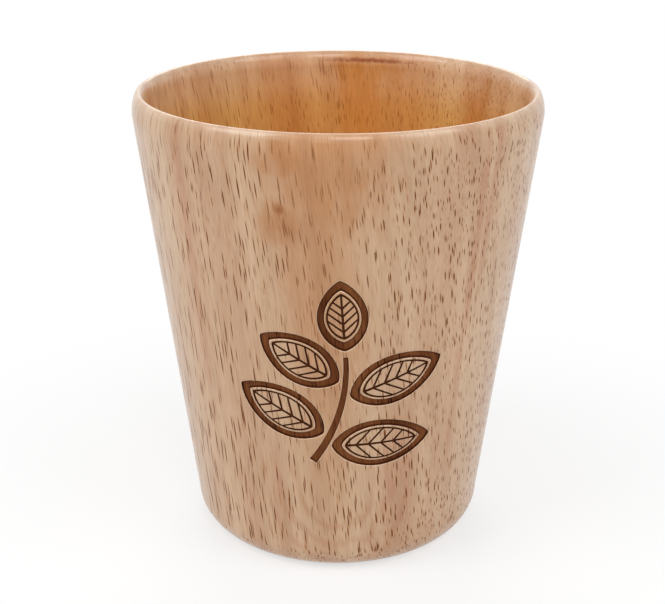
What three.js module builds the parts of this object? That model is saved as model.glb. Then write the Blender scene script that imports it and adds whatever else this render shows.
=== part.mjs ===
// A turned wooden cup: a tapered wall with a rounded lip and foot, and a dished base disc glued in from above.
// Millimetres, +Z up. The origin is the centre of the foot, on the surface that the cup stands on.
import * as THREE from "three";

// Outside of the wall: a straight taper, given where its line meets the rim plane and the foot plane.
const cupHeight = 95;
const rimRadius = 42;
const footRadius = 30.2;

// Wall thickness, measured across the axis at the rim plane and at the foot plane.
const wallAtRim = 2.9;
const wallAtFoot = 5;

// Lip: two elliptic rounds, outside and inside, meeting at the crest.
const lipOutsideInset = 1.5;
const lipOutsideDrop = 4.3;
const lipInsideDrop = 4;

// Foot: an elliptic round outside, the flat ring that the cup stands on, and the eased edge of its hole.
const footRoundInset = 6;
const footRoundHeight = 7;
const footRingWidth = 6;
const holeEase = 0.6;

// Base disc: it rests on the ledge that the foot ring makes, with a film of glue under it and round it.
const ledgeHeight = 4;
const glueFilm = 0.2;
const discFloor = 4.5;
const discEdge = 6.5;
const discLand = 1.2;
const discEase = 0.4;

// Fineness of the facets: sides round the axis, and steps in each quarter round of a profile.
const sidesRound = 80;
const roundSteps = 7;
const easeSteps = 4;

const wallWood = new THREE.MeshStandardMaterial({ color: 0xbe9676, roughness: 0.4, metalness: 0 });
const discWood = new THREE.MeshStandardMaterial({ color: 0xb78a62, roughness: 0.45, metalness: 0 });

// Radius of the wall's outside, and of its bore, at a height above the foot plane.
function outsideAt(z) {
  return THREE.MathUtils.lerp(footRadius, rimRadius, z / cupHeight);
}

function boreAt(z) {
  return outsideAt(z) - THREE.MathUtils.lerp(wallAtFoot, wallAtRim, z / cupHeight);
}

// Points of a quarter ellipse about (centreRadius, centreZ), from one angle to another, ends included.
function quarterRound(centreRadius, centreZ, inset, rise, fromAngle, toAngle, steps) {
  const round = new THREE.EllipseCurve(centreRadius, centreZ, inset, rise, fromAngle, toAngle, toAngle < fromAngle);
  return round.getPoints(steps);
}

const quarter = Math.PI / 2;

// Closed half-section of the wall, from the edge of the foot hole outwards, up the outside and down the bore.
function wallSection() {
  const footFlatRadius = outsideAt(footRoundHeight) - footRoundInset;
  const holeRadius = footFlatRadius - footRingWidth;
  const lipInset = Math.min(lipOutsideInset, wallAtRim / 2);
  const shoulderZ = cupHeight - lipOutsideDrop;
  const crestRadius = outsideAt(shoulderZ) - lipInset;
  const throatZ = cupHeight - lipInsideDrop;
  const throatInset = crestRadius - boreAt(throatZ);
  const section = [
    ...quarterRound(holeRadius + holeEase, holeEase, holeEase, holeEase, 2 * quarter, 3 * quarter, easeSteps),
    ...quarterRound(footFlatRadius, footRoundHeight, footRoundInset, footRoundHeight, -quarter, 0, roundSteps),
    ...quarterRound(crestRadius, shoulderZ, lipInset, lipOutsideDrop, 0, quarter, roundSteps),
    ...quarterRound(crestRadius, throatZ, throatInset, lipInsideDrop, quarter, 2 * quarter, roundSteps).slice(1),
    new THREE.Vector2(boreAt(ledgeHeight), ledgeHeight),
    new THREE.Vector2(holeRadius, ledgeHeight),
  ];
  return [...section, section[0].clone()];
}

// Half-section of the base disc, from the axis underneath, round the tapered edge and over the dish to the axis.
function discSection() {
  const underZ = ledgeHeight + glueFilm;
  const floorZ = underZ + discFloor;
  const edgeZ = underZ + discEdge;
  const underRadius = boreAt(underZ) - glueFilm;
  const edgeRadius = boreAt(edgeZ) - glueFilm;
  const coveRadius = discEdge - discFloor;
  const coveCentre = edgeRadius - discLand - coveRadius;
  return [
    new THREE.Vector2(0, underZ),
    new THREE.Vector2(underRadius - discEase, underZ),
    new THREE.Vector2(boreAt(underZ + discEase) - glueFilm, underZ + discEase),
    new THREE.Vector2(edgeRadius, edgeZ),
    ...quarterRound(coveCentre, edgeZ, coveRadius, coveRadius, 0, -quarter, roundSteps),
    new THREE.Vector2(0, floorZ),
  ];
}

// A solid of revolution about +Z from its half-section.
function turned(name, section, material) {
  const geometry = new THREE.LatheGeometry(section, sidesRound);
  geometry.rotateX(quarter);
  const piece = new THREE.Mesh(geometry, material);
  piece.name = name;
  return piece;
}

const cup = new THREE.Group();
cup.add(turned("cup_wall", wallSection(), wallWood));
cup.add(turned("base_disc", discSection(), discWood));

export default cup;
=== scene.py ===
"""Looks of a turned wooden cup: a lacquered wall engraved with a sprig, and the base disc let into it.

Sizes in the classes are in millimetres, as a maker would give them. Meshes are in metres, in the frame of the
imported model: +Z up, the origin at the centre of the foot, and -Y towards the engraved front.
"""

from __future__ import annotations

import logging
import math
from collections.abc import Callable, Sequence
from dataclasses import dataclass
from enum import Enum, IntEnum
from functools import reduce
from typing import Any, NamedTuple

import bpy
from mathutils import Color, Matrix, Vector

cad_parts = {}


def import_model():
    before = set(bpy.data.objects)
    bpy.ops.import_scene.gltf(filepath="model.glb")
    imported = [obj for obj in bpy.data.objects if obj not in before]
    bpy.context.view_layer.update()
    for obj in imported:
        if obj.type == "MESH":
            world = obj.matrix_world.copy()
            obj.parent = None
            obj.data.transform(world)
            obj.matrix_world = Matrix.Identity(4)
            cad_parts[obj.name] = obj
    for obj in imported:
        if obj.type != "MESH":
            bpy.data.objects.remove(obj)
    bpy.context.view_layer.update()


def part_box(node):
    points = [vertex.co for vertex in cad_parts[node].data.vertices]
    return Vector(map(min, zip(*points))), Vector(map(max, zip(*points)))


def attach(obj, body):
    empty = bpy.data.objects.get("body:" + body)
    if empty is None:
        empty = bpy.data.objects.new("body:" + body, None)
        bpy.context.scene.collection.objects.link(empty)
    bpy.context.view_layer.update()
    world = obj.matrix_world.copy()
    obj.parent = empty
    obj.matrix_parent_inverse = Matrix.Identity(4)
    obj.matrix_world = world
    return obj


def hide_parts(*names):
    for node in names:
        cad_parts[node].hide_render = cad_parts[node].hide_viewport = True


LOG = logging.getLogger("wooden_cup")
MM = 0.001
IMAGE_WIDTH = 665
SENSOR_WIDTH = 36.0
FULL_BYTE = 255
QUARTER_TURN = 90.0
SHARP_EDGE = 35.0
NOISE_MIDDLE = 0.5
WHITE = (1.0, 1.0, 1.0, 1.0)

Piece = bpy.types.Object
Socket = bpy.types.NodeSocket
Point = tuple[float, float]
Triple = tuple[float, float, float]
Tone = tuple[float, float, float, float]
Route = Callable[[float], tuple[Point, float]]


def tone(red: int, green: int, blue: int) -> Tone:
    """Turn a colour as a screen shows it into the linear colour that a shader takes.

    Args:
        red: Red, from 0 to 255.
        green: Green, from 0 to 255.
        blue: Blue, from 0 to 255.

    Returns:
        Linear red, green, blue and a full alpha.
    """
    shown = Color([byte / FULL_BYTE for byte in (red, green, blue)])
    return (*shown.from_srgb_to_scene_linear(), 1.0)


def blend(low: float, high: float, share: float) -> float:
    """Value at a share of the way from low to high."""
    return low + (high - low) * share


def quarter_round(centre: Point, radii: Point, start: float, end: float, steps: int) -> list[Point]:
    """Points along an elliptic arc of a half-section.

    Args:
        centre: Radius and height of the ellipse's centre.
        radii: Half-axes of the ellipse, across and up.
        start: First angle in degrees, from the outward direction.
        end: Last angle in degrees.
        steps: Number of straight steps.

    Returns:
        The points, both ends included.
    """
    (x, z), (across, up) = centre, radii
    angles = [math.radians(blend(start, end, step / steps)) for step in range(steps + 1)]
    return [(x + across * math.cos(angle), z + up * math.sin(angle)) for angle in angles]


def walk(start: Point, heading: float, across: float, along: float) -> Point:
    """Place reached from a start by going along a heading and across it.

    Args:
        start: Place across and up.
        heading: Degrees clockwise from up.
        across: Way to the right of the heading.
        along: Way along the heading.

    Returns:
        The place across and up.
    """
    x, z = start
    angle = math.radians(heading)
    return (x + across * math.cos(angle) + along * math.sin(angle),
            z - across * math.sin(angle) + along * math.cos(angle))


# Work on meshes


def select(*pieces: Piece) -> None:
    """Select some pieces and nothing else, the first of them active."""
    bpy.ops.object.select_all(action="DESELECT")
    for piece in pieces:
        piece.select_set(True)
    bpy.context.view_layer.objects.active = pieces[0]


def edit(piece: Piece) -> None:
    """Open one piece in edit mode with all of it selected."""
    select(piece)
    bpy.ops.object.mode_set(mode="EDIT")
    bpy.ops.mesh.select_all(action="SELECT")


def close_edit() -> None:
    """Turn all faces outwards and go back to object mode."""
    bpy.ops.mesh.select_all(action="SELECT")
    bpy.ops.mesh.normals_make_consistent(inside=False)
    bpy.ops.object.mode_set(mode="OBJECT")


def turn(name: str, stations: Sequence[Point], sides: int) -> Piece:
    """Turn a piece about the Z axis by raising one ring through the stations of its half-section.

    Args:
        name: Name of the piece.
        stations: Radius and height of each ring in millimetres.
        sides: Number of sides round the axis.

    Returns:
        The piece, open in edit mode, with its last ring selected.
    """
    radius, height = stations[0]
    bpy.ops.mesh.primitive_circle_add(vertices=sides, radius=radius * MM, fill_type="NOTHING")
    piece = bpy.context.object
    piece.name = name
    edit(piece)
    bpy.ops.transform.translate(value=(0, 0, height * MM))
    for next_radius, next_height in stations[1:]:
        rise = (next_height - height) * MM
        growth = next_radius / radius
        bpy.ops.mesh.extrude_region_move(TRANSFORM_OT_translate={"value": (0, 0, rise)})
        bpy.ops.transform.resize(value=(growth, growth, 1), center_override=(0, 0, next_height * MM))
        radius, height = next_radius, next_height
    return piece


def smooth(piece: Piece) -> None:
    """Shade a piece smooth, apart from its sharp edges."""
    select(piece)
    bpy.ops.object.shade_smooth_by_angle(angle=math.radians(SHARP_EDGE))


def join(pieces: Sequence[Piece]) -> Piece:
    """Join several meshes into the first of them and return it."""
    select(*pieces)
    bpy.ops.object.join()
    return pieces[0]


def cut_away(piece: Piece, cutter: Piece) -> None:
    """Cut one mesh out of another, keep the cutter's finishes on the cut and remove the cutter.

    Args:
        piece: The mesh that is cut.
        cutter: A closed mesh.
    """
    select(piece)
    cut = piece.modifiers.new("cut", "BOOLEAN")
    cut.operation = "DIFFERENCE"
    cut.solver = "EXACT"
    cut.material_mode = "INDEX"
    cut.object = cutter
    bpy.ops.object.modifier_apply(modifier=cut.name)
    bpy.data.objects.remove(cutter)


# Shader trees


class Ripple(NamedTuple):
    """A noise: its pitch in millimetres along each axis, and its octaves of detail."""

    pitch: Triple
    detail: float


class Graph:
    """Adds nodes to one shader tree and links them."""

    def __init__(self, tree: bpy.types.NodeTree) -> None:
        """Start on a tree with no nodes.

        Args:
            tree: The tree of a material, a world or a group.
        """
        self.tree = tree
        self.tree.nodes.clear()

    def add(self, kind: str, inputs: dict[str | int, Any] | None = None, **settings: Any) -> bpy.types.Node:
        """Add a node.

        Args:
            kind: Type of the node.
            inputs: Values or sockets for its inputs, by name or by number.
            settings: Its other properties.

        Returns:
            The new node.
        """
        node = self.tree.nodes.new(kind)
        for name, value in settings.items():
            setattr(node, name, value)
        for key, value in (inputs or {}).items():
            self.feed(node.inputs[key], value)
        return node

    def feed(self, socket: Socket, value: Any) -> None:
        """Link a socket to another, or set its value."""
        if isinstance(value, Socket):
            self.tree.links.new(value, socket)
        else:
            socket.default_value = value

    def math(self, operation: str, first: Any, second: Any = 0.0) -> Socket:
        """Result of a Math node."""
        return self.add("ShaderNodeMath", {0: first, 1: second}, operation=operation).outputs[0]

    def chain(self, operation: str, values: Sequence[Any]) -> Socket:
        """Result of Math nodes that take up values one after another."""
        return reduce(lambda so_far, value: self.math(operation, so_far, value), values)

    def plus(self, *values: Any) -> Socket:
        """Sum of values."""
        return self.chain("ADD", values)

    def times(self, *values: Any) -> Socket:
        """Product of values."""
        return self.chain("MULTIPLY", values)

    def highest(self, *values: Any) -> Socket:
        """Highest of values."""
        return self.chain("MAXIMUM", values)

    def minus(self, first: Any, second: Any) -> Socket:
        """Difference of two values."""
        return self.math("SUBTRACT", first, second)

    def over(self, first: Any, second: Any) -> Socket:
        """Quotient of two values."""
        return self.math("DIVIDE", first, second)

    def vector(self, operation: str, first: Any, second: Any = (0, 0, 0)) -> Socket:
        """Vector result of a Vector Math node."""
        return self.add("ShaderNodeVectorMath", {0: first, 1: second}, operation=operation).outputs[0]

    def split(self, vector: Socket) -> Sequence[Socket]:
        """X, Y and Z of a vector."""
        return self.add("ShaderNodeSeparateXYZ", {0: vector}).outputs

    def combine(self, x: Any = 0.0, y: Any = 0.0, z: Any = 0.0) -> Socket:
        """Vector of an X, a Y and a Z."""
        return self.add("ShaderNodeCombineXYZ", {0: x, 1: y, 2: z}).outputs[0]

    def level(self, vector: Socket) -> Socket:
        """A vector with its Z set to 0."""
        return self.vector("MULTIPLY", vector, (1, 1, 0))

    def length(self, vector: Any) -> Socket:
        """Length of a vector."""
        return self.add("ShaderNodeVectorMath", {0: vector}, operation="LENGTH").outputs["Value"]

    def smoothstep(self, value: Any, low: Any, high: Any) -> Socket:
        """Ease from 0 to 1 as a value goes from low to high."""
        inputs = {"Value": value, "From Min": low, "From Max": high}
        return self.add("ShaderNodeMapRange", inputs, interpolation_type="SMOOTHSTEP").outputs[0]

    def mix(self, factor: Any, first: Any, second: Any, blend_type: str = "MIX") -> Socket:
        """Mix of two colours, whose sockets share their names with others and so go by number."""
        inputs = {0: factor, 6: first, 7: second}
        return self.add("ShaderNodeMix", inputs, data_type="RGBA", blend_type=blend_type).outputs[2]

    def millimetres(self) -> Socket:
        """Place on the piece in millimetres."""
        return self.vector("DIVIDE", self.add("ShaderNodeTexCoord").outputs["Object"], (MM, MM, MM))

    def seen(self) -> Socket:
        """Mask of the camera's rays, straight ones and those by way of a reflection or of glass."""
        path = self.add("ShaderNodeLightPath").outputs
        return self.highest(path["Is Camera Ray"], path["Is Glossy Ray"], path["Is Transmission Ray"])

    def noise(self, place: Any, ripple: Ripple) -> bpy.types.Node:
        """Noise node that draws a ripple at a place in millimetres."""
        scaled = self.vector("DIVIDE", place, ripple.pitch)
        return self.add("ShaderNodeTexNoise", {"Vector": scaled, "Scale": 1.0, "Detail": ripple.detail})

    def swing(self, value: Any, reach: float) -> Socket:
        """Swing a noise value of 0 to 1 evenly about 0, to reach on each side."""
        return self.times(self.minus(value, NOISE_MIDDLE), 2 * reach)

    def swing_vector(self, colour: Any, reach: Triple) -> Socket:
        """Swing a noise colour evenly about 0, to reach on each side along each axis."""
        centred = self.vector("SUBTRACT", colour, (NOISE_MIDDLE,) * 3)
        return self.vector("MULTIPLY", centred, [2 * far for far in reach])


class Layer(NamedTuple):
    """A growth layer: its distance from the pith, and how blushed and how amber its wood is."""

    reach: float
    blush: float
    amber: float


class Figure(NamedTuple):
    """A figure in the wood: its ripple, and how far it swings the lightness and the blush."""

    ripple: Ripple
    light: float
    blush: float = 0.0


class Vessels(NamedTuple):
    """One size of vessel: its spacing, its radius and its length for each width.

    The share is of vessels that are open, and the darkness is theirs.
    """

    pitch: float
    radius: float
    stretch: float
    share: float
    darkness: float

    @property
    def cell(self) -> Triple:
        """Spacing along each axis."""
        return (self.pitch, self.pitch, self.pitch * self.stretch)


class Patch(NamedTuple):
    """A soft patch on the wall: its bearing right of the front in degrees, its height and its half sizes.

    Its strength follows, and whether it is on the inside only.
    """

    bearing: float
    height: float
    half_width: float
    half_height: float
    strength: float
    inside: bool = False


class Arcs(NamedTuple):
    """Nested arcs where growth layers run out at the front.

    They have a centre, a half width, a reach down, a reach up in which they fade, a number and a strength.
    A line darkens between two shares of its spacing, the second in its middle. The arcs begin and end between
    two shares of the way out from the centre.
    """

    across: float
    height: float
    half_width: float
    down: float
    fade: float
    lines: float
    strength: float
    line: Point = (0.15, 0.5)
    begin: Point = (0.25, 0.5)
    end: Point = (1.05, 0.85)
    ragged: float = 0.2


TIMBER_INPUTS = {
    "Place": "Vector",
    **dict.fromkeys(("Pale", "Blush", "Amber", "Stain", "Pore"), "Color"),
    **dict.fromkeys(("Pore strength", "Contrast", "Blush patches", "Amber patches", "Knots"), "Float"),
}
TIMBER_OUTPUTS = {"Colour": "Color", "Pores": "Float", "Height": "Float"}


@dataclass(frozen=True)
class Timber:
    """Figure of the timber in millimetres, in a frame whose Z runs up the grain."""

    pith: Point = (10.0, 68.0)
    layers: tuple[Layer, ...] = (
        Layer(22, 0.1, 0.3),
        Layer(27, 0.7, 0.5),
        Layer(31, 0.1, 0.4),
        Layer(35, 0.0, 0.1),
        Layer(40, 0.2, 0.0),
        Layer(43, 0.1, 0.0),
        Layer(47, 0.6, 0.2),
        Layer(51, 0.0, 0.0),
        Layer(55, 0.6, 0.0),
        Layer(58, 0.1, 0.0),
        Layer(66, 0.1, 0.0),
        Layer(69, 0.7, 0.1),
        Layer(71, 0.1, 0.0),
        Layer(79, 0.0, 0.0),
        Layer(81, 0.5, 0.0),
        Layer(84, 0.1, 0.0),
        Layer(90.5, 0.0, 0.0),
        Layer(92.5, 0.55, 0.0),
        Layer(94.5, 0.1, 0.0),
        Layer(96.2, 0.6, 0.0),
        Layer(97.6, 0.1, 0.0),
        Layer(99.0, 0.0, 0.05),
        Layer(100.2, 0.15, 0.72),
        Layer(103, 0.2, 0.8),
    )
    arcs: Arcs = Arcs(2.5, 25.0, half_width=15.0, down=23.0, fade=16.0, lines=5.0, strength=0.5)
    fibre: Figure = Figure(Ripple((0.26, 0.26, 6.0), 3), light=0.23)
    streak: Figure = Figure(Ripple((1.2, 1.2, 40.0), 2), light=0.13, blush=0.25)
    mottle: Figure = Figure(Ripple((8.0, 8.0, 24.0), 2), light=0.12)
    band: Figure = Figure(Ripple((4.5, 4.5, 110.0), 1), light=-0.14, blush=0.68)
    light_gains: Triple = (0.75, 1.0, 1.3)
    layer_ripple: Ripple = Ripple((13.0, 13.0, 60.0), 2)
    layer_wander: float = 1.8
    grain_ripple: Ripple = Ripple((48.0, 48.0, 52.0), 1)
    grain_wander: Point = (1.5, 2.0)
    coarse: Vessels = Vessels(pitch=0.36, radius=0.108, stretch=14.0, share=0.58, darkness=1.0)
    fine: Vessels = Vessels(pitch=0.29, radius=0.062, stretch=38.0, share=0.36, darkness=0.55)
    smallest_vessel: float = 0.5
    palest_vessel: float = 0.6
    vessel_core: float = 0.7
    tick_taper: float = 0.018
    stain: float = 0.5
    stain_reach: float = 1.7
    amber_pore_loss: float = 0.6
    blush_pore_gain: float = 0.3
    pore_depth: float = 0.02
    fibre_relief: float = 0.012

    def group(self) -> bpy.types.NodeTree:
        """Build the shader group that draws this timber.

        Returns:
            A group from a place in the grain's frame, in millimetres, and the wood's colours, to a colour, a
            mask of the pores and a height in millimetres.
        """
        tree = bpy.data.node_groups.new("timber figure", "ShaderNodeTree")
        for name, kind in TIMBER_INPUTS.items():
            tree.interface.new_socket(name, in_out="INPUT", socket_type="NodeSocket" + kind)
        for name, kind in TIMBER_OUTPUTS.items():
            tree.interface.new_socket(name, in_out="OUTPUT", socket_type="NodeSocket" + kind)
        graph = Graph(tree)
        given = graph.add("NodeGroupInput").outputs
        place = given["Place"]
        flow = self.flow(graph, place)
        coarse, stain = self.pores(graph, flow, self.coarse)
        fine, _ = self.pores(graph, flow, self.fine)
        fibre = graph.noise(flow, self.fibre.ripple).outputs[0]
        streak = graph.noise(flow, self.streak.ripple).outputs[0]
        mottle = graph.noise(place, self.mottle.ripple).outputs[0]
        band = graph.noise(flow, self.band.ripple).outputs[0]
        blush, amber = self.layer_masks(graph, place)
        blush = graph.plus(blush, graph.swing(streak, self.streak.blush), graph.swing(band, self.band.blush),
                           given["Blush patches"], self.arc_mask(graph, place, mottle))
        amber = graph.highest(amber, given["Amber patches"])
        wood = graph.mix(blush, given["Pale"], given["Blush"])
        wood = graph.mix(amber, wood, given["Amber"])
        wood = graph.mix(given["Knots"], wood, given["Stain"], "MULTIPLY")
        light = graph.plus(graph.swing(fibre, self.fibre.light), graph.swing(streak, self.streak.light),
                           graph.swing(mottle, self.mottle.light), graph.swing(band, self.band.light))
        light = graph.times(light, given["Contrast"])
        gains = [graph.plus(graph.times(light, gain), 1.0) for gain in self.light_gains]
        wood = graph.mix(1.0, wood, graph.combine(*gains), "MULTIPLY")
        level = graph.minus(1.0, graph.times(amber, self.amber_pore_loss))
        level = graph.plus(level, graph.times(blush, self.blush_pore_gain))
        level = graph.times(level, given["Pore strength"])
        pores = graph.times(graph.highest(coarse, fine), level)
        stain = graph.times(stain, level, self.stain)
        colour = graph.mix(pores, graph.mix(stain, wood, given["Stain"]), given["Pore"])
        height = graph.minus(graph.times(fibre, self.fibre_relief), graph.times(pores, self.pore_depth))
        graph.add("NodeGroupOutput", {"Colour": colour, "Pores": pores, "Height": height})
        return tree

    def flow(self, graph: Graph, place: Any) -> Socket:
        """Place with the slow wander of the grain added across it."""
        wander = graph.noise(place, self.grain_ripple).outputs["Color"]
        return graph.vector("ADD", place, graph.swing_vector(wander, (*self.grain_wander, 0.0)))

    def layer_masks(self, graph: Graph, place: Any) -> tuple[Socket, Socket]:
        """Masks of the blushed and of the amber growth layers."""
        across = graph.level(graph.vector("SUBTRACT", place, (*self.pith, 0)))
        wander = graph.swing(graph.noise(place, self.layer_ripple).outputs[0], self.layer_wander)
        reach = graph.plus(graph.length(across), wander)
        nearest, furthest = self.layers[0].reach, self.layers[-1].reach
        share = graph.over(graph.minus(reach, nearest), furthest - nearest)
        ramp = graph.add("ShaderNodeValToRGB", {0: share})
        ramp.color_ramp.interpolation = "B_SPLINE"
        stops = ramp.color_ramp.elements
        stops.remove(stops[-1])
        for number, layer in enumerate(self.layers):
            position = (layer.reach - nearest) / (furthest - nearest)
            stop = stops.new(position) if number else stops[0]
            stop.position = position
            stop.color = (layer.blush, layer.amber, 0, 1)
        blush, amber, _ = graph.add("ShaderNodeSeparateColor", {0: ramp.outputs[0]}).outputs
        return blush, amber

    def arc_mask(self, graph: Graph, place: Any, mottle: Any) -> Socket:
        """Mask of the nested arcs at the front, made ragged by the mottle."""
        arcs = self.arcs
        x, y, z = graph.split(place)
        above = graph.minus(z, arcs.height)
        across = graph.over(graph.minus(x, arcs.across), arcs.half_width)
        along = graph.over(graph.math("MINIMUM", above, 0.0), arcs.down)
        away = graph.length(graph.combine(across, along))
        phase = graph.times(graph.plus(away, graph.swing(mottle, arcs.ragged)), arcs.lines)
        line = graph.smoothstep(graph.math("PINGPONG", phase, arcs.line[1]), *arcs.line)
        spread = graph.times(graph.smoothstep(away, *arcs.begin), graph.smoothstep(away, *arcs.end))
        faded = graph.smoothstep(above, arcs.fade, 0.0)
        return graph.times(line, spread, faded, graph.math("LESS_THAN", y, 0.0), arcs.strength)

    def pores(self, graph: Graph, flow: Any, vessels: Vessels) -> tuple[Socket, Socket]:
        """Masks of one size of vessel, long thin tubes cut open by the surface, and of the stain round it."""
        x, y, z = graph.split(flow)
        shortened = graph.times(z, graph.plus(graph.times(x, self.tick_taper), 1.0))
        cells = graph.vector("DIVIDE", graph.combine(x, y, shortened), vessels.cell)
        vessel = graph.add("ShaderNodeTexVoronoi", {"Vector": cells, "Scale": 1.0}).outputs
        size, chance, shade = graph.add("ShaderNodeSeparateColor", {0: vessel["Color"]}).outputs
        radius = graph.times(graph.plus(size, self.smallest_vessel), vessels.radius / vessels.pitch)
        edge = graph.smoothstep(vessel["Distance"], radius, graph.times(radius, self.vessel_core))
        halo = graph.smoothstep(vessel["Distance"], graph.times(radius, self.stain_reach), radius)
        open_here = graph.math("LESS_THAN", chance, vessels.share)
        darkness = graph.plus(graph.times(shade, 1 - self.palest_vessel), self.palest_vessel)
        level = graph.times(open_here, darkness, vessels.darkness)
        return graph.times(edge, level), graph.times(halo, level)


@dataclass(frozen=True, kw_only=True)
class WoodFinish:
    """Colours of one wood surface, and how its lacquer shines."""

    name: str
    pale: Tone
    blush: Tone
    amber: Tone
    stain: Tone
    pore: Tone
    pore_strength: float = 1.0
    contrast: float = 1.0
    roughness: float = 0.32
    pore_roughness: float = 0.55
    specular: float = 0.5
    coat: float = 0.4
    coat_roughness: float = 0.12
    grain_turn: Triple = (-5.7, 6.0, 0.0)
    grain_shift: Triple = (0.0, 0.0, 0.0)

    def pore_level(self, graph: Graph, place: Any) -> Any:
        """Strength of the pores at a place in millimetres."""
        return self.pore_strength

    def grain_place(self, graph: Graph, place: Any) -> Any:
        """Place, in millimetres, that the grain is drawn for."""
        return place

    def patches(self, graph: Graph, place: Any) -> dict[str, Any]:
        """Levels of the soft patches at a place in millimetres, by the timber's input."""
        return {}

    def tinted(self, graph: Graph, colour: Any, place: Any, levels: dict[str, Any]) -> Any:
        """Colour of the wood under the lacquer at a place in millimetres, given the levels of the patches."""
        return colour

    def coat_weight(self, graph: Graph, place: Any, pores: Any) -> Any:
        """Weight of the lacquer's shine at a place in millimetres, given the mask of the pores."""
        return self.coat

    def material(self, timber: bpy.types.NodeTree) -> bpy.types.Material:
        """Build the material.

        Args:
            timber: The group that draws the timber.

        Returns:
            The material.
        """
        material = bpy.data.materials.new(self.name)
        material.use_nodes = True
        graph = Graph(material.node_tree)
        place = graph.millimetres()
        levels = self.patches(graph, place)
        grain = graph.add("ShaderNodeMapping", {
            "Vector": self.grain_place(graph, place),
            "Rotation": [math.radians(angle) for angle in self.grain_turn],
            "Location": self.grain_shift,
        })
        wood = graph.add("ShaderNodeGroup", {
            "Place": grain.outputs[0],
            "Pale": self.pale,
            "Blush": self.blush,
            "Amber": self.amber,
            "Stain": self.stain,
            "Pore": self.pore,
            "Pore strength": self.pore_level(graph, place),
            "Contrast": self.contrast,
            **levels,
        }, node_tree=timber).outputs
        rougher = self.pore_roughness - self.roughness
        bump = graph.add("ShaderNodeBump", {"Height": wood["Height"], "Distance": MM, "Strength": 1.0})
        shader = graph.add("ShaderNodeBsdfPrincipled", {
            "Base Color": self.tinted(graph, wood["Colour"], place, levels),
            "Roughness": graph.plus(graph.times(wood["Pores"], rougher), self.roughness),
            "Specular IOR Level": self.specular,
            "Coat Weight": self.coat_weight(graph, place, wood["Pores"]),
            "Coat Roughness": self.coat_roughness,
            "Normal": bump.outputs[0],
        })
        graph.add("ShaderNodeOutputMaterial", {"Surface": shader.outputs[0]})
        return material


# The cup's pieces


class Cut(IntEnum):
    """Finishes of the wall, in the order of its material slots."""

    WOOD = 0
    CHAR = 1
    SCORCH = 2
    # The chamfers round the bands, which carry a painted highlight.
    EDGE = 3


@dataclass
class CupWall:
    """The turned wall, with its lip, its foot and the ledge that the base disc rests on."""

    height: float
    rim_radius: float = 42.0
    foot_radius: float = 30.2
    wall_at_rim: float = 2.9
    wall_at_foot: float = 5.0
    lip_inset: float = 1.45
    lip_drop: float = 4.3
    lip_inside_drop: float = 4.0
    foot_round_inset: float = 6.0
    foot_round_height: float = 7.0
    foot_ring_width: float = 6.0
    hole_ease: float = 0.6
    ledge_height: float = 4.0
    weld: float = 0.002
    sides: int = 208
    round_steps: int = 14
    ease_steps: int = 5
    outside_courses: int = 52
    inside_courses: int = 30

    def outside(self, z: float) -> float:
        """Radius of the taper's outside at a height."""
        return blend(self.foot_radius, self.rim_radius, z / self.height)

    def bore(self, z: float) -> float:
        """Radius of the bore at a height."""
        return self.outside(z) - blend(self.wall_at_foot, self.wall_at_rim, z / self.height)

    def stations(self) -> list[Point]:
        """Half-section, from the foot's hole up the outside, over the lip and down to the ledge."""
        foot_flat = self.outside(self.foot_round_height) - self.foot_round_inset
        hole = foot_flat - self.foot_ring_width
        shoulder = self.height - self.lip_drop
        crest = self.outside(shoulder) - self.lip_inset
        throat = self.height - self.lip_inside_drop
        ease = (self.hole_ease, self.hole_ease)
        foot_round = (self.foot_round_inset, self.foot_round_height)
        outside = [blend(self.foot_round_height, shoulder, step / self.outside_courses)
                   for step in range(1, self.outside_courses)]
        inside = [blend(throat, self.ledge_height, step / self.inside_courses)
                  for step in range(1, self.inside_courses + 1)]
        section = quarter_round((hole + self.hole_ease, self.hole_ease), ease, 180, 270, self.ease_steps)
        section += quarter_round((foot_flat, self.foot_round_height), foot_round, -90, 0, self.round_steps)
        section += [(self.outside(z), z) for z in outside]
        section += quarter_round((crest, shoulder), (self.lip_inset, self.lip_drop), 0, 90, self.round_steps)
        inner_lip = (crest - self.bore(throat), self.lip_inside_drop)
        section += quarter_round((crest, throat), inner_lip, 90, 180, self.round_steps)[1:]
        section += [(self.bore(z), z) for z in inside]
        section += [(hole, self.ledge_height), section[0]]
        return section

    def on_front(self, x: float, z: float, depth: float) -> Vector:
        """Point of the front at a place across and up, sunk to a depth, in metres."""
        radius = self.outside(z) - depth
        return Vector((x, -math.sqrt(radius * radius - x * x), z)) * MM

    def build(self) -> Piece:
        """Turn the wall and close its section.

        Returns:
            The wall's piece.
        """
        piece = turn("turned_wall", self.stations(), self.sides)
        bpy.ops.mesh.select_all(action="SELECT")
        bpy.ops.mesh.remove_doubles(threshold=self.weld * MM)
        close_edit()
        return piece


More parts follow.
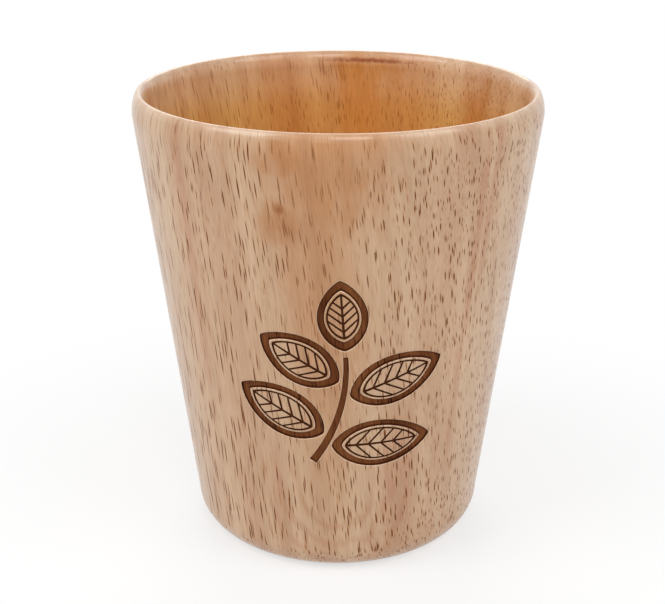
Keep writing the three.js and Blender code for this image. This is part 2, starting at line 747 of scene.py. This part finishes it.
@dataclass(frozen=True, kw_only=True)
class WallFinish(WoodFinish):
    """The wall's lacquer, which is thicker and more amber inside, and fills the pores at the lip. Its colour
    also holds painted light: paler inside near the lip, painted shade further down the bore, and a painted
    highlight on the crest of the lip.
    """

    wall: CupWall
    # Painted light: tint that makes the inside paler near the lip.
    lip_light_tint: Tone
    # Tint further down inside: partly the lacquer's own amber, partly painted shade of the bore.
    deep_amber_and_shade: Tone
    # Painted highlight: tint that makes the crest of the lip paler.
    crest_highlight_tint: Tone
    inside_pores: float = 0.66
    lip_pores: float = 0.3
    end_pores: float = 0.45
    foot_pores: float = 1.25
    foot_reach: float = 45.0
    lip_coat: float = 0.5
    lip_reach: float = 2.6
    lip_core: float = 0.867
    fleck: Ripple = Ripple((0.5, 0.5, 0.5), 2)
    fleck_levels: Point = (0.3, 0.6)
    crest_reach: float = 1.6
    crest_core: float = 0.6
    tint_reach: float = 14.0
    amber_drop: float = 3.2
    middle_blur: Point = (-0.3, 1.0)
    ledge_margin: float = 0.1
    back_lean: float = 0.19
    patch_core: float = 0.1
    patch_ragged: float = 0.45
    patch_grain: Ripple = Ripple((4.0, 4.0, 8.0), 2)
    knot_grain: Ripple = Ripple((1.1, 1.1, 1.6), 2)
    amber_patches: tuple[Patch, ...] = (
        Patch(-13.0, 91.0, 9.0, 9.0, 0.95),
        Patch(-15.1, 80.6, 3.6, 3.2, 1.0),
        Patch(-13.7, 78.0, 8.5, 8.5, 0.8),
        Patch(-2.6, 88.0, 18.0, 30.0, 0.82),
        Patch(170.8, 84.0, 15.0, 36.0, 0.85, inside=True),
        Patch(125.0, 74.0, 11.0, 30.0, 0.8, inside=True),
    )
    blush_patches: tuple[Patch, ...] = (
        Patch(41.5, 70.0, 1.8, 60.0, 0.75),
        Patch(45.5, 78.0, 1.5, 40.0, 0.6),
        Patch(-46.0, 70.0, 2.2, 60.0, 0.6),
    )
    knots: tuple[Patch, ...] = (
        Patch(-15.1, 81.0, 1.7, 1.4, 0.5),
        Patch(-13.4, 77.5, 6.5, 5.5, 0.16),
        Patch(169.5, 93.1, 15.0, 0.8, 0.95, inside=True),
    )

    def inside(self, graph: Graph, place: Any) -> Socket:
        """Mask of the inside: nearer the axis than the middle of the wall, and above the ledge."""
        z = graph.split(place)[2]
        radius = graph.length(graph.level(place))
        foot, rim = ((self.wall.outside(end) + self.wall.bore(end)) / 2 for end in (0, self.wall.height))
        middle = graph.plus(graph.times(z, (rim - foot) / self.wall.height), foot)
        within = graph.smoothstep(graph.minus(middle, radius), *self.middle_blur)
        return graph.times(within, graph.math("GREATER_THAN", z, self.wall.ledge_height - self.ledge_margin))

    def below_rim(self, graph: Graph, place: Any, start: float, end: float) -> Socket:
        """Ease from 0 to 1 as the depth below the rim goes from start to end."""
        return graph.smoothstep(graph.minus(self.wall.height, graph.split(place)[2]), start, end)

    def lip(self, graph: Graph, place: Any) -> Socket:
        """Mask of the lip."""
        return self.below_rim(graph, place, self.lip_reach, self.lip_core)

    def grain_place(self, graph: Graph, place: Any) -> Any:
        """Place, moved so that the grain runs on over the lip's round and leans with the wall at the back."""
        wall = self.wall
        _, y, z = graph.split(place)
        shoulder = wall.height - wall.lip_drop
        rise = graph.over(graph.minus(z, shoulder), wall.lip_drop)
        rise = graph.math("MINIMUM", graph.highest(rise, 0.0), 1.0)
        left = graph.math("SQRT", graph.minus(1.0, graph.times(rise, rise)))
        growth = wall.outside(wall.height) - wall.outside(shoulder)
        inset = graph.plus(graph.times(graph.minus(1.0, left), wall.lip_inset), graph.times(rise, growth))
        inset = graph.times(inset, graph.minus(1.0, self.inside(graph, place)))
        behind = graph.over(graph.highest(y, 0.0), wall.rim_radius)
        lean = graph.times(graph.minus(wall.height, z), self.back_lean, behind)
        outwards = graph.vector("NORMALIZE", graph.level(place))
        outset = graph.vector("MULTIPLY", outwards, graph.combine(inset, inset))
        return graph.vector("ADD", graph.vector("ADD", place, graph.combine(y=lean)), outset)

    def patch_level(self, graph: Graph, place: Any, patches: Sequence[Patch], grain: Ripple) -> Any:
        """Level of the strongest of several patches, with edges made ragged by their grain."""
        z = graph.split(place)[2]
        outwards = graph.vector("NORMALIZE", graph.level(place))
        ragged = graph.swing_vector(graph.noise(place, grain).outputs["Color"], (self.patch_ragged,) * 3)
        inside = self.inside(graph, place)
        below_lip = self.below_rim(graph, place, self.crest_core, self.crest_reach)
        strongest = 0.0
        for patch in patches:
            bearing = math.radians(patch.bearing)
            aside = graph.vector("SUBTRACT", outwards, (math.sin(bearing), -math.cos(bearing), 0))
            across = graph.times(graph.length(aside), self.wall.rim_radius / patch.half_width)
            up = graph.over(graph.minus(z, patch.height), patch.half_height)
            away = graph.length(graph.vector("ADD", graph.combine(across, up), ragged))
            level = graph.smoothstep(away, 1.0, self.patch_core)
            level = graph.times(level, patch.strength, inside if patch.inside else below_lip)
            strongest = graph.highest(strongest, level)
        return strongest

    def patches(self, graph: Graph, place: Any) -> dict[str, Any]:
        """Levels of the blushed and of the amber patches, and of the knots."""
        return {
            "Blush patches": self.patch_level(graph, place, self.blush_patches, self.patch_grain),
            "Amber patches": self.patch_level(graph, place, self.amber_patches, self.patch_grain),
            "Knots": self.patch_level(graph, place, self.knots, self.knot_grain),
        }

    def coat_weight(self, graph: Graph, place: Any, pores: Any) -> Any:
        """Weight of the lacquer's shine: higher in flecks on the polished lip, low over open pores."""
        flecks = graph.smoothstep(graph.noise(place, self.fleck).outputs[0], *self.fleck_levels)
        polish = graph.times(self.lip(graph, place), flecks, self.lip_coat - self.coat)
        return graph.times(graph.plus(polish, self.coat), graph.minus(1.0, pores))

    def pore_level(self, graph: Graph, place: Any) -> Any:
        """Strength of the pores, lower inside, at the lip and under the foot, and higher towards the foot."""
        z = graph.split(place)[2]
        end_grain = graph.smoothstep(z, self.wall.foot_round_height, 0.0)
        filled = graph.highest(graph.times(self.lip(graph, place), 1 - self.lip_pores),
                               graph.times(self.inside(graph, place), 1 - self.inside_pores),
                               graph.times(end_grain, 1 - self.end_pores))
        foot = graph.smoothstep(z, self.foot_reach, 0.0)
        strength = graph.plus(graph.times(foot, self.foot_pores - 1), self.pore_strength)
        return graph.times(graph.minus(1.0, filled), strength)

    def tinted(self, graph: Graph, colour: Any, place: Any, levels: dict[str, Any]) -> Any:
        """Colour of the wood, deepened inside, more so further down, partly by the lacquer's amber and partly
        as painted shade; paler inside near the lip as painted light; and pale on the crest of the lip as a
        painted highlight.
        """
        below_lip = self.below_rim(graph, place, self.crest_reach, self.amber_drop)
        depth_amber_and_shade = graph.highest(self.below_rim(graph, place, 0.0, self.tint_reach),
                             graph.times(below_lip, levels["Amber patches"]))
        # Painted light and shade inside: paler near the lip, deeper and more amber further down the bore.
        tint = graph.mix(depth_amber_and_shade, self.lip_light_tint, self.deep_amber_and_shade)
        tint = graph.mix(self.inside(graph, place), WHITE, tint)
        # Painted highlight: the crest of the lip is made paler, outside and inside.
        crest = self.below_rim(graph, place, self.crest_reach, 0.0)
        return graph.mix(1.0, colour, graph.mix(crest, tint, self.crest_highlight_tint), "MULTIPLY")


@dataclass
class BaseDisc:
    """The dished disc glued in on the wall's ledge."""

    wall: CupWall
    glue_film: float = 0.2
    side_film: float = 0.06
    floor: float = 4.5
    edge: float = 6.5
    land: float = 1.2
    ease: float = 0.4
    middle: float = 1.0
    sides: int = 160
    round_steps: int = 10
    rings: int = 12

    def stations(self) -> list[Point]:
        """Half-section, from near the axis underneath, round the edge and over the dish to near the axis."""
        under = self.wall.ledge_height + self.glue_film
        top = under + self.edge
        floor = under + self.floor
        rim = self.wall.bore(top) - self.side_film
        cove = self.edge - self.floor
        cove_centre = rim - self.land - cove
        below = self.wall.bore(under) - self.side_film - self.ease
        section = [(blend(self.middle, below, step / self.rings), under) for step in range(self.rings + 1)]
        section += [(self.wall.bore(under + self.ease) - self.side_film, under + self.ease)]
        section += [(rim, top - self.ease), (rim - self.ease, top)]
        section += quarter_round((cove_centre, top), (cove, cove), 0, -90, self.round_steps)
        dish = [blend(cove_centre, self.middle, step / self.rings) for step in range(1, self.rings + 1)]
        section += [(radius, floor) for radius in dish]
        return section

    def build(self) -> Piece:
        """Turn the disc and close its two faces at the axis.

        Returns:
            The disc's piece.
        """
        piece = turn("turned_base", self.stations(), self.sides)
        bpy.ops.mesh.select_all(action="SELECT")
        bpy.ops.mesh.fill_holes(sides=0)
        close_edit()
        return piece


class Side(Enum):
    """Where a leaf springs from the stem."""

    LEFT = -1
    END = 0
    RIGHT = 1


class Leaf(NamedTuple):
    """A leaf of the sprig: its share of the way up the stem, its side, its lean in degrees and its size."""

    along: float
    side: Side
    lean: float
    length: float
    half_width: float


class Level(NamedTuple):
    """A level of a cutter: its depth, its spread past the outline, and the finishes on it and above it."""

    depth: float
    spread: float
    floor: Cut = Cut.SCORCH
    side: Cut = Cut.SCORCH


@dataclass
class Sprig:
    """A sprig of leaves burnt into the front: banded outlines with a fine line and veins inside each."""

    wall: CupWall
    piece: Piece
    centre: Point = (0.8, 46.6)
    stem_bow: float = 37.5
    stem_centre: Point = (-36.7, 2.0)
    stem_from: float = -34.0
    stem_to: float = 4.0
    stem_widths: Point = (1.6, 1.0)
    leaf_gap: float = 1.3
    leaves: tuple[Leaf, ...] = (
        Leaf(1.0, Side.END, 0, 14.8, 4.8),
        Leaf(0.78, Side.LEFT, 63, 17.4, 5.0),
        Leaf(0.66, Side.RIGHT, 60, 18.6, 5.2),
        Leaf(0.28, Side.LEFT, 84, 18.4, 5.2),
        Leaf(0.20, Side.RIGHT, 62, 19.2, 5.3),
    )
    band: float = 1.35
    ridge: float = 0.36
    line: float = 0.36
    band_depth: float = 0.5
    line_depth: float = 0.3
    rib_depth: float = 0.34
    rib_widths: Point = (0.525, 0.378)
    vein_depth: float = 0.27
    vein_widths: Point = (0.42, 0.336)
    vein_feet: Point = (0.14, 0.68)
    vein_lean: float = 48.0
    veins: int = 4
    # Width of the darker strip along each wall of a band's floor.
    dark_strip: float = 0.22
    chamfer: float = 0.1
    clear: float = 0.15
    point: float = 1.55
    belly: float = 1.1
    tip_share: float = 1.5
    outline_steps: int = 88
    stem_steps: int = 48
    rib_steps: int = 16
    vein_steps: int = 5
    end_margin: float = 0.001
    halvings: int = 24

    @property
    def field_inset(self) -> float:
        """Inset of the middle of a leaf's fine line, where the leaf's field ends."""
        return self.band + self.ridge + self.line / 2

    def stem_at(self, share: float) -> tuple[Point, float]:
        """Point of the stem at a share of its length, and its heading in degrees clockwise from up."""
        angle = math.radians(blend(self.stem_from, self.stem_to, share))
        x = self.stem_centre[0] + self.stem_bow * math.cos(angle)
        return (x, self.stem_centre[1] + self.stem_bow * math.sin(angle)), -math.degrees(angle)

    def leaf_frame(self, leaf: Leaf) -> tuple[Point, float]:
        """Base point of a leaf, and its heading in degrees clockwise from up."""
        start, heading = self.stem_at(leaf.along)
        base = walk(start, heading + QUARTER_TURN * leaf.side.value, 0, self.leaf_gap)
        return base, heading + leaf.lean * leaf.side.value

    def span(self, leaf: Leaf, inset: float) -> Point:
        """Lengths along a leaf where its outline, drawn in by an inset, starts and ends."""
        ends = self.tip_share * inset
        return ends, leaf.length - ends

    def outline(self, leaf: Leaf, inset: float, share: float) -> Point:
        """Point of a leaf's outline, drawn in by an inset, at a share of the way round."""
        angle = math.tau * share
        rise = ((1 - math.cos(angle)) / 2) ** self.belly
        bulge = math.copysign(abs(math.sin(angle)) ** self.point, math.sin(angle))
        across = (leaf.half_width - inset) * bulge
        return walk(*self.leaf_frame(leaf), across, blend(*self.span(leaf, inset), rise))

    def field_half_width(self, leaf: Leaf, along: float) -> float:
        """Half the width of a leaf's field at a length along the leaf."""
        start, end = self.span(leaf, self.field_inset)
        share = (along - start) / (end - start)
        if not 0 < share < 1:
            return 0.0
        angle = math.acos(1 - 2 * share ** (1 / self.belly))
        return (leaf.half_width - self.field_inset) * math.sin(angle) ** self.point

    def straight(self, leaf: Leaf, foot: float, lean: float, reach: float) -> Route:
        """Route of a straight line in a leaf.

        Args:
            leaf: The leaf.
            foot: Length along the leaf's middle where the line starts.
            lean: Degrees clockwise from the leaf's heading.
            reach: Length of the line.

        Returns:
            The route.
        """
        base, heading = self.leaf_frame(leaf)
        start = walk(base, heading, 0, foot)
        return lambda share: (walk(start, heading + lean, 0, reach * share), heading + lean)

    def sunk(self, place: Point, depth: float) -> Vector:
        """A place on the sprig, carried onto the wall at a depth."""
        return self.wall.on_front(self.centre[0] + place[0], self.centre[1] + place[1], depth)

    def ring(self, leaf: Leaf, section: Sequence[tuple[float, float, Cut]]) -> Piece:
        """Shape a torus into a cutter that follows a leaf's outline.

        Args:
            leaf: The leaf.
            section: Inset and depth of each corner of the section, and the finish from it to the next.

        Returns:
            The cutter.
        """
        corners = len(section)
        bpy.ops.mesh.primitive_torus_add(major_segments=self.outline_steps, minor_segments=corners)
        cutter = bpy.context.object
        finishes = {}
        for vertex in cutter.data.vertices:
            step, corner = divmod(vertex.index, corners)
            inset, depth, finish = section[corner]
            vertex.co = self.sunk(self.outline(leaf, inset, step / self.outline_steps), depth)
            finishes[vertex.index] = (corner, finish)
        for face in cutter.data.polygons:
            met = sorted({finishes[index] for index in face.vertices})
            wraps = met[-1][0] - met[0][0] > 1
            face.material_index = met[-1][1] if wraps else met[0][1]
        return self.closed(cutter)

    def bar(self, route: Route, widths: Point, levels: Sequence[Level], steps: int) -> Piece:
        """Shape a grid into a cutter that follows a line.

        Args:
            route: Place on the sprig, and heading in degrees, at a share of the line's length.
            widths: Width at the start and at the end.
            levels: The cutter's levels, from its floor up.
            steps: Number of steps along the line.

        Returns:
            The cutter.
        """
        bpy.ops.mesh.primitive_grid_add(x_subdivisions=steps, y_subdivisions=1, size=2)
        cutter = bpy.context.object
        edit(cutter)
        for _ in levels[1:]:
            bpy.ops.mesh.extrude_region_move(TRANSFORM_OT_translate={"value": (0, 0, 1)})
        bpy.ops.object.mode_set(mode="OBJECT")
        for face in cutter.data.polygons:
            lowest = min(round(cutter.data.vertices[index].co.z) for index in face.vertices)
            flat = round(face.normal.z) != 0
            face.material_index = levels[lowest].floor if flat else levels[lowest].side
        for vertex in cutter.data.vertices:
            along, side, level = (vertex.co.x + 1) / 2, vertex.co.y, levels[round(vertex.co.z)]
            across = side * (blend(*widths, along) / 2 + level.spread)
            past = level.spread * ((along > 1 - self.end_margin) - (along < self.end_margin))
            vertex.co = self.sunk(walk(*route(along), across, past), level.depth)
        return self.closed(cutter)

    def closed(self, cutter: Piece) -> Piece:
        """Turn a cutter's faces outwards, give it the wall's finishes and return it."""
        edit(cutter)
        close_edit()
        for finish in self.piece.data.materials:
            cutter.data.materials.append(finish)
        return cutter

    def bands(self) -> list[Piece]:
        """Cutters of the broad burnt bands: round each leaf, and along the stem."""
        wide = self.chamfer + self.clear
        section = (
            (0, self.band_depth, Cut.SCORCH),
            # The chamfers get the pale finish of a painted highlight.
            (0, self.chamfer, Cut.EDGE),
            (-wide, -self.clear, Cut.CHAR),
            (self.band + wide, -self.clear, Cut.EDGE),
            (self.band, self.chamfer, Cut.SCORCH),
            # The band's floor is darker in a strip along each wall.
            (self.band, self.band_depth, Cut.SCORCH),
            (self.band - self.dark_strip, self.band_depth, Cut.CHAR),
            (self.dark_strip, self.band_depth, Cut.SCORCH),
        )
        levels = (
            Level(self.band_depth, 0, floor=Cut.CHAR),
            Level(self.chamfer, 0, side=Cut.EDGE),
            Level(-self.clear, wide),
        )
        stem = self.bar(self.stem_at, self.stem_widths, levels, self.stem_steps)
        return [stem, *(self.ring(leaf, section) for leaf in self.leaves)]

    def fine_lines(self) -> list[Piece]:
        """Cutters of the fine line inside each leaf's band."""
        outer = self.band + self.ridge
        inner = outer + self.line
        section = (
            (outer, self.line_depth, Cut.SCORCH),
            (outer, -self.clear, Cut.SCORCH),
            (inner, -self.clear, Cut.SCORCH),
            (inner, self.line_depth, Cut.SCORCH),
        )
        return [self.ring(leaf, section) for leaf in self.leaves]

    def midribs(self) -> list[Piece]:
        """Cutters of the line down the middle of each leaf."""
        levels = (Level(self.rib_depth, 0), Level(-self.clear, 0))
        cutters = []
        for leaf in self.leaves:
            start, end = self.span(leaf, self.field_inset)
            route = self.straight(leaf, start, 0, end - start)
            cutters.append(self.bar(route, self.rib_widths, levels, self.rib_steps))
        return cutters

    def side_veins(self) -> list[Piece]:
        """Cutters of the slanting veins on both sides of each midrib."""
        levels = (Level(self.vein_depth, 0), Level(-self.clear, 0))
        shares = [blend(*self.vein_feet, number / (self.veins - 1)) for number in range(self.veins)]
        cutters = []
        for leaf in self.leaves:
            for share in shares:
                foot = blend(*self.span(leaf, self.field_inset), share)
                reach = self.vein_reach(leaf, foot)
                for side in (Side.LEFT, Side.RIGHT):
                    route = self.straight(leaf, foot, side.value * self.vein_lean, reach)
                    cutters.append(self.bar(route, self.vein_widths, levels, self.vein_steps))
        return cutters

    def vein_reach(self, leaf: Leaf, foot: float) -> float:
        """Length of a vein from the midrib to the fine line, found by halving."""
        lean = math.radians(self.vein_lean)
        low, high = 0.0, leaf.length
        for _ in range(self.halvings):
            reach = (low + high) / 2
            field = self.field_half_width(leaf, foot + reach * math.cos(lean))
            low, high = (reach, high) if reach * math.sin(lean) < field else (low, reach)
        return low

    def carve(self) -> None:
        """Cut the sprig into the wall's piece."""
        for cutters in (self.bands(), self.fine_lines(), self.midribs(), self.side_veins()):
            cut_away(self.piece, join(cutters))


# The studio


class SoftBox(NamedTuple):
    """A square lamp aimed at the cup: its bearing right of the front and its climb in degrees, and its size.

    The distance and the side are in millimetres, and the radiance is that of its face.
    """

    name: str
    bearing: float
    climb: float
    distance: float
    side: float
    radiance: float


@dataclass
class Studio:
    """Camera, soft light, white floor and white surroundings."""

    stand_off: float = 258.45
    eye_height: float = 148.53
    tilt_down: float = 21.207
    turn_left: float = 0.249
    focal_pixels: float = 1289.6
    near_clip: float = 10.0
    floor_size: float = 6000.0
    floor_tone: Tone = (0.88, 0.88, 0.88, 1.0)
    shadow_reach: Point = (30.0, 140.0)
    shadow_share: float = 0.35
    surround: float = 0.33
    aim: Triple = (0.0, 0.0, 60.0)
    boxes: tuple[SoftBox, ...] = (
        SoftBox("front box", 8, 44, 650, 205, 6.6),
        SoftBox("left box", -62, 44, 750, 400, 5.0),
        SoftBox("right box", 58, 44, 750, 400, 3.55),
        SoftBox("back box", 184, 40, 800, 500, 3.0),
    )

    def camera(self) -> None:
        """Set up the camera at the photograph's viewing angle."""
        data = bpy.data.cameras.new("camera")
        data.sensor_width = SENSOR_WIDTH
        data.lens = self.focal_pixels * SENSOR_WIDTH / IMAGE_WIDTH
        data.clip_start = self.near_clip * MM
        camera = bpy.data.objects.new("camera", data)
        camera.location = (0, -self.stand_off * MM, self.eye_height * MM)
        pitch = math.radians(QUARTER_TURN - self.tilt_down)
        camera.rotation_euler = (pitch, 0, math.radians(self.turn_left))
        bpy.context.collection.objects.link(camera)
        bpy.context.scene.camera = camera

    def floor(self) -> None:
        """Lay the white floor, which fades into the white surroundings away from the cup."""
        bpy.ops.mesh.primitive_plane_add(size=self.floor_size * MM)
        floor = bpy.context.object
        floor.name = "floor"
        material = bpy.data.materials.new("white floor")
        material.use_nodes = True
        graph = Graph(material.node_tree)
        fade = graph.smoothstep(graph.length(graph.millimetres()), *self.shadow_reach)
        white = graph.plus(graph.times(fade, self.shadow_share), 1 - self.shadow_share)
        matt = graph.add("ShaderNodeBsdfDiffuse", {"Color": self.floor_tone})
        glow = graph.add("ShaderNodeEmission", {"Color": WHITE, "Strength": 1.0})
        inputs = {0: graph.times(graph.seen(), white), 1: matt.outputs[0], 2: glow.outputs[0]}
        mixed = graph.add("ShaderNodeMixShader", inputs)
        graph.add("ShaderNodeOutputMaterial", {"Surface": mixed.outputs[0]})
        floor.data.materials.append(material)

    def world(self) -> None:
        """Surround the cup with soft white light, which the camera sees as plain white."""
        world = bpy.data.worlds.new("white tent")
        world.use_nodes = True
        bpy.context.scene.world = world
        graph = Graph(world.node_tree)
        strength = graph.plus(graph.times(graph.seen(), 1 - self.surround), self.surround)
        background = graph.add("ShaderNodeBackground", {"Color": WHITE, "Strength": strength})
        graph.add("ShaderNodeOutputWorld", {"Surface": background.outputs[0]})

    def lamp(self, box: SoftBox) -> None:
        """Hang a soft box."""
        data = bpy.data.lights.new(box.name, "AREA")
        data.size = box.side * MM
        data.energy = box.radiance * math.pi * data.size ** 2
        lamp = bpy.data.objects.new(box.name, data)
        bearing, climb = math.radians(box.bearing), math.radians(box.climb)
        reach = box.distance * math.cos(climb)
        away = Vector((reach * math.sin(bearing), -reach * math.cos(bearing), box.distance * math.sin(climb)))
        lamp.location = (Vector(self.aim) + away) * MM
        lamp.rotation_euler = away.to_track_quat("Z", "Y").to_euler()
        lamp.visible_camera = False
        bpy.context.collection.objects.link(lamp)

    def build(self) -> None:
        """Set up everything round the cup."""
        self.camera()
        self.floor()
        self.world()
        for box in self.boxes:
            self.lamp(box)
        bpy.context.scene.view_settings.view_transform = "Standard"


# The finishes


def wall_lacquer(wall: CupWall) -> WallFinish:
    """Finish of the wall's turned faces."""
    return WallFinish(
        name="lacquered wall wood",
        wall=wall,
        pale=tone(201, 168, 136),
        blush=tone(189, 144, 113),
        amber=tone(181, 124, 76),
        stain=tone(178, 118, 60),
        pore=tone(98, 45, 4),
        # Painted highlight on the crest of the lip.
        crest_highlight_tint=(1.1, 1.17, 1.26, 1.0),
        # Painted light: paler inside near the lip.
        lip_light_tint=(1.24, 1.22, 1.18, 1.0),
        # More amber further down inside: partly the lacquer's amber, partly painted shade.
        deep_amber_and_shade=(1.14, 0.92, 0.46, 1.0),
        specular=0.18,
    )


CHARRED = WoodFinish(
    name="charred groove",
    pale=tone(126, 75, 40),
    blush=tone(100, 54, 27),
    amber=tone(106, 58, 29),
    stain=tone(82, 39, 17),
    pore=tone(46, 18, 7),
    contrast=3.4,
    roughness=0.65,
    pore_roughness=0.75,
    specular=0.1,
    coat=0.0,
)
SCORCHED = WoodFinish(
    name="scorched line",
    pale=tone(88, 44, 19),
    blush=tone(76, 36, 15),
    amber=tone(78, 37, 15),
    stain=tone(58, 26, 10),
    pore=tone(38, 15, 6),
    contrast=1.6,
    roughness=0.65,
    pore_roughness=0.75,
    specular=0.1,
    coat=0.0,
)
# Painted highlight: a pale finish on the chamfers, a thin bright line round each band.
EDGE_HIGHLIGHT = WoodFinish(
    name="painted highlight on cut edge",
    pale=tone(224, 190, 158),
    blush=tone(214, 178, 146),
    amber=tone(212, 174, 138),
    stain=tone(190, 140, 100),
    pore=tone(140, 96, 66),
    roughness=0.5,
    coat=0.2,
)
DISC_WOOD = WoodFinish(
    name="lacquered base wood",
    pale=tone(218, 166, 98),
    blush=tone(200, 142, 78),
    amber=tone(184, 118, 58),
    stain=tone(160, 96, 44),
    pore=tone(104, 48, 12),
    specular=0.25,
    grain_turn=(0.0, 90.0, 20.0),
    grain_shift=(18.0, -26.0, 0.0),
)


def report(piece: Piece, node: str) -> None:
    """Put a finished piece in a CAD node's place.

    Args:
        piece: The piece.
        node: The node that it stands for.
    """
    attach(piece, "root")
    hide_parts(node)
    LOG.info("%s stands for %s: %d faces", piece.name, node, len(piece.data.polygons))


def main() -> None:
    """Load the frame, build the cup on it and set up the studio."""
    logging.basicConfig(level=logging.INFO, format="%(name)s: %(message)s")
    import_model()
    _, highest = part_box("cup_wall")

    timber = Timber().group()
    wall = CupWall(height=highest[2] / MM)
    wall_piece = wall.build()
    for finish in (wall_lacquer(wall), CHARRED, SCORCHED, EDGE_HIGHLIGHT):
        wall_piece.data.materials.append(finish.material(timber))
    Sprig(wall, wall_piece).carve()
    smooth(wall_piece)
    report(wall_piece, "cup_wall")

    disc_piece = BaseDisc(wall).build()
    disc_piece.data.materials.append(DISC_WOOD.material(timber))
    smooth(disc_piece)
    report(disc_piece, "base_disc")

    Studio().build()


if __name__ == "__main__":
    main()
